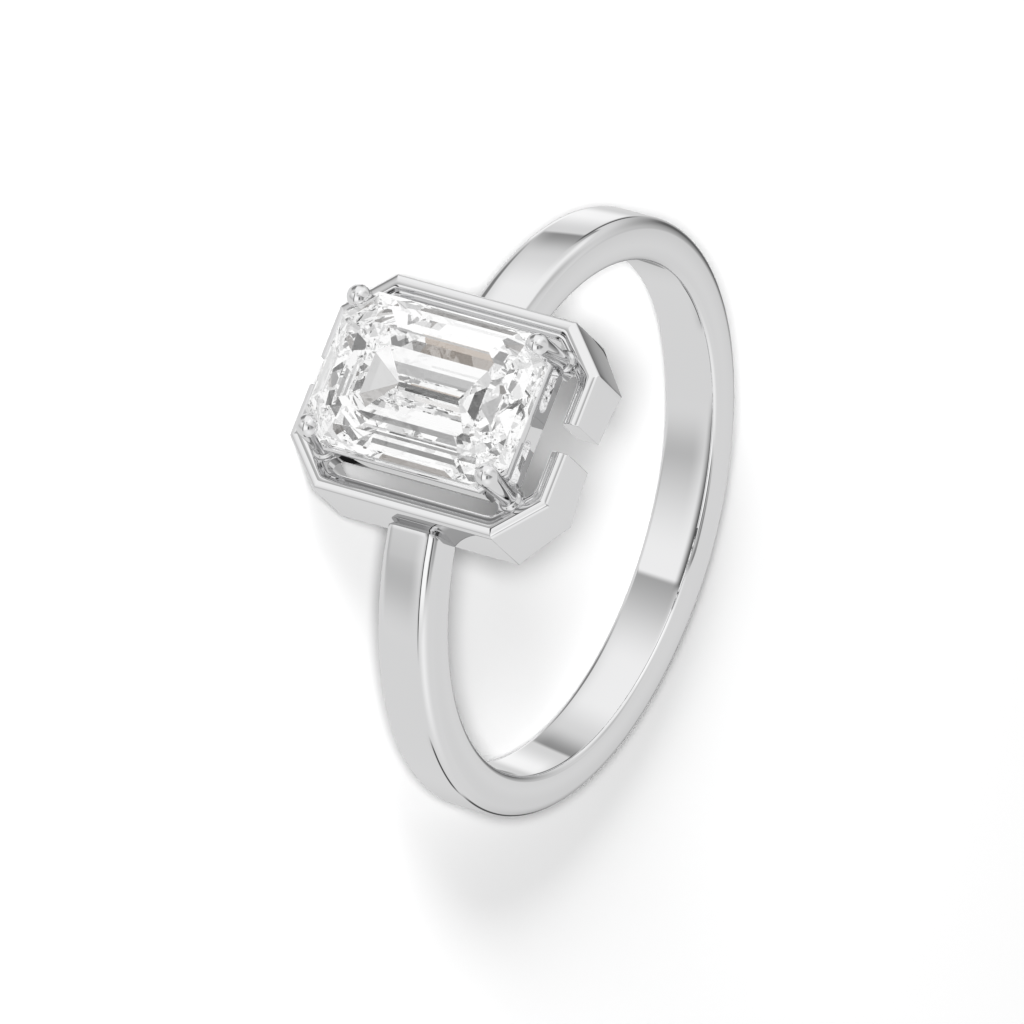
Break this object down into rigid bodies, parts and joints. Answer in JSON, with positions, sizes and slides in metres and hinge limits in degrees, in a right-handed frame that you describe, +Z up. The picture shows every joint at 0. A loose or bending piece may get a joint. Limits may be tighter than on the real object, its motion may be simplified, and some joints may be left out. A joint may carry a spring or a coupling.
{
  "type": "solitaire ring",
  "caption": "Finger ring with a step-cut emerald-shape stone held by ball-tip claws in an open octagonal rim, on a plain narrow polished band, lying on its side",
  "frame": {"origin": "bottom centre of the bounding box of the ring lying on its side", "axes": "+Z up from the surface the ring lies on; +Y from the stone across the finger hollow to the far side of the band; +X to the right of someone who looks at the stone along +Y"},
  "size_m": [0.0202, 0.0232, 0.0099],
  "materials": {
    "metal": "mirror polished white precious metal",
    "stone": "clear colourless faceted gemstone"
  },
  "bodies": {
    "root": {"ring_mount": "metal", "centre_stone": "stone"}
  },
  "joints": []
}
